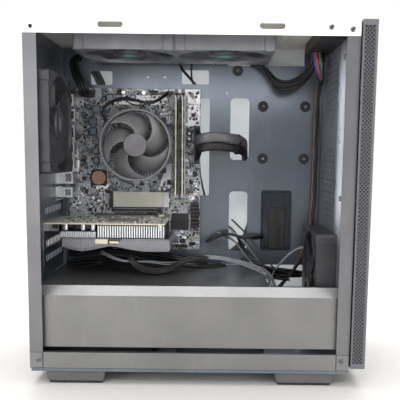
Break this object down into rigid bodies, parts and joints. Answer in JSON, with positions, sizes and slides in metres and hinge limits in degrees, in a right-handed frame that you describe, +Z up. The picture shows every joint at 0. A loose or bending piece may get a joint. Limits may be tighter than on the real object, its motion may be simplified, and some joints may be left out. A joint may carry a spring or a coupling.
{
  "type": "desktop computer tower",
  "caption": "Micro-ATX desktop computer tower with its window side open, showing the motherboard, air cooler, graphics card, fans and wiring.",
  "frame": {"origin": "centre of the case on the surface that its feet stand on", "axes": "+Z up, +X towards the front panel, -Y towards the open window side"},
  "size_m": [0.4, 0.225, 0.4275],
  "materials": {
    "case_steel": "satin grey powder coat",
    "inner_steel": "satin dark grey powder coat",
    "white_steel": "satin white powder coat",
    "cover_steel": "satin grey powder coat",
    "bare_steel": "zinc-plated sheet",
    "screw_steel": "zinc-plated",
    "brass": "turned",
    "case_plastic": "fine texture",
    "fan_plastic": "matt black",
    "fan_wheel_plastic": "matt black",
    "grey_wheel_plastic": "satin grey",
    "mesh_steel": "fine perforation",
    "filter_mesh": "fine net",
    "circuit_board": "solder mask",
    "socket_plastic": "moulded",
    "chip_mix": "moulded",
    "fin_aluminium": "bare fins",
    "module_board": "solder mask",
    "stick_label": "matt label",
    "card_plastic": "moulded",
    "rubber": "matt",
    "foot_plastic": "matt",
    "cable_sleeve": "woven sleeve",
    "supply_steel": "black powder coat"
  },
  "bodies": {
    "chassis": {"atx_cable": "cable_sleeve", "board_components": "chip_mix", "board_sockets": "socket_plastic", "bottom_plate": "inner_steel", "bottom_rails": "case_steel", "cooler_heatsink": "fin_aluminium", "cooler_shroud": "fan_plastic", "corner_columns": "case_steel", "cpu_power_cable": "cable_sleeve", "drive_cage": "inner_steel", "fan_leads": "cable_sleeve", "feet": "foot_plastic", "front_fan_frame": "fan_plastic", "front_io_ports": "case_plastic", "front_panel_leads": "cable_sleeve", "front_wall": "inner_steel", "gpu_bracket": "bare_steel", "gpu_heatsink": "fin_aluminium", "gpu_pcb": "circuit_board", "gpu_shroud": "card_plastic", "io_ports": "bare_steel", "io_shield": "bare_steel", "m2_ssd": "stick_label", "memory_modules": "module_board", "memory_slots": "socket_plastic", "motherboard_pcb": "circuit_board", "motherboard_tray": "inner_steel", "pcie_slots": "socket_plastic", "psu_case": "supply_steel", "psu_circuit": "circuit_board", "psu_shroud": "cover_steel", "rear_fan_frame": "fan_plastic", "rear_wall": "inner_steel", "screws": "screw_steel", "slot_covers": "inner_steel", "ssd_bracket": "inner_steel", "standoffs": "brass", "top_front_fan_frame": "fan_plastic", "top_plate": "inner_steel", "top_rails": "white_steel", "top_rear_fan_frame": "fan_plastic", "tray_grommets": "rubber"},
    "rear_fan_wheel": {"rear_fan_rotor": "fan_wheel_plastic"},
    "top_rear_fan_wheel": {"top_rear_fan_rotor": "fan_wheel_plastic"},
    "top_front_fan_wheel": {"top_front_fan_rotor": "fan_wheel_plastic"},
    "front_fan_wheel": {"front_fan_rotor": "fan_wheel_plastic"},
    "cooler_wheel": {"cooler_rotor": "grey_wheel_plastic"},
    "card_fan_wheel": {"gpu_fan_rotor": "fan_wheel_plastic"},
    "supply_fan_wheel": {"psu_fan_rotor": "fan_wheel_plastic"},
    "power_key": {"power_button": "case_plastic"},
    "supply_rocker": {"psu_switch": "socket_plastic"},
    "memory_lever_1": {"memory_latch_1": "socket_plastic"},
    "memory_lever_2": {"memory_latch_2": "socket_plastic"},
    "card_lever": {"pcie_latch": "socket_plastic"},
    "side_panel": {"right_side_panel": "inner_steel", "thumbscrews": "screw_steel"},
    "front_cover": {"front_panel": "case_plastic", "front_panel_mesh": "mesh_steel"},
    "roof_filter": {"top_dust_filter": "filter_mesh"},
    "floor_filter": {"psu_dust_filter": "filter_mesh"}
  },
  "joints": [
    {"name": "rear_fan_spin", "type": "hinge", "parent": "chassis", "child": "rear_fan_wheel", "pos_m": [-0.184, -0.042, 0.311], "axis": [-1, 0, 0], "continuous": true},
    {"name": "top_rear_fan_spin", "type": "hinge", "parent": "chassis", "child": "top_rear_fan_wheel", "pos_m": [-0.091, -0.015, 0.408], "axis": [0, 0, 1], "continuous": true},
    {"name": "top_front_fan_spin", "type": "hinge", "parent": "chassis", "child": "top_front_fan_wheel", "pos_m": [0.029, -0.015, 0.408], "axis": [0, 0, 1], "continuous": true},
    {"name": "front_fan_spin", "type": "hinge", "parent": "chassis", "child": "front_fan_wheel", "pos_m": [0.158, -0.015, 0.1195], "axis": [-1, 0, 0], "continuous": true},
    {"name": "cooler_fan_spin", "type": "hinge", "parent": "chassis", "child": "cooler_wheel", "pos_m": [-0.0867, 0.014, 0.287], "axis": [0, 1, 0], "continuous": true},
    {"name": "card_fan_spin", "type": "hinge", "parent": "chassis", "child": "card_fan_wheel", "pos_m": [-0.1045, 0.002, 0.158], "axis": [0, 0, 1], "continuous": true},
    {"name": "supply_fan_spin", "type": "hinge", "parent": "chassis", "child": "supply_fan_wheel", "pos_m": [-0.12, 0, 0.026], "axis": [0, 0, 1], "continuous": true},
    {"name": "power_press", "type": "slide", "parent": "chassis", "child": "power_key", "axis": [0, 0, -1], "range_m": [0, 0.0015], "stiffness_N_per_m": 400},
    {"name": "supply_switch_rock", "type": "hinge", "parent": "chassis", "child": "supply_rocker", "pos_m": [-0.194, -0.003, 0.059], "axis": [0, 0, 1], "range_deg": [-8, 8]},
    {"name": "memory_latch_1_open", "type": "hinge", "parent": "chassis", "child": "memory_lever_1", "pos_m": [-0.0346, 0.065, 0.3595], "axis": [-1, 0, 0], "range_deg": [0, 30]},
    {"name": "memory_latch_2_open", "type": "hinge", "parent": "chassis", "child": "memory_lever_2", "pos_m": [-0.0255, 0.065, 0.3595], "axis": [-1, 0, 0], "range_deg": [0, 30]},
    {"name": "card_latch_press", "type": "hinge", "parent": "chassis", "child": "card_lever", "pos_m": [-0.0587, 0.065, 0.187], "axis": [0, 0, 1], "range_deg": [0, 20]},
    {"name": "side_panel_slide", "type": "slide", "parent": "chassis", "child": "side_panel", "axis": [-1, 0, 0], "range_m": [0, 0.42]},
    {"name": "front_panel_pull", "type": "slide", "parent": "chassis", "child": "front_cover", "axis": [1, 0, 0], "range_m": [0, 0.08]},
    {"name": "top_filter_lift", "type": "slide", "parent": "chassis", "child": "roof_filter", "axis": [0, 0, 1], "range_m": [0, 0.06]},
    {"name": "floor_filter_slide", "type": "slide", "parent": "chassis", "child": "floor_filter", "axis": [-1, 0, 0], "range_m": [0, 0.17]}
  ]
}
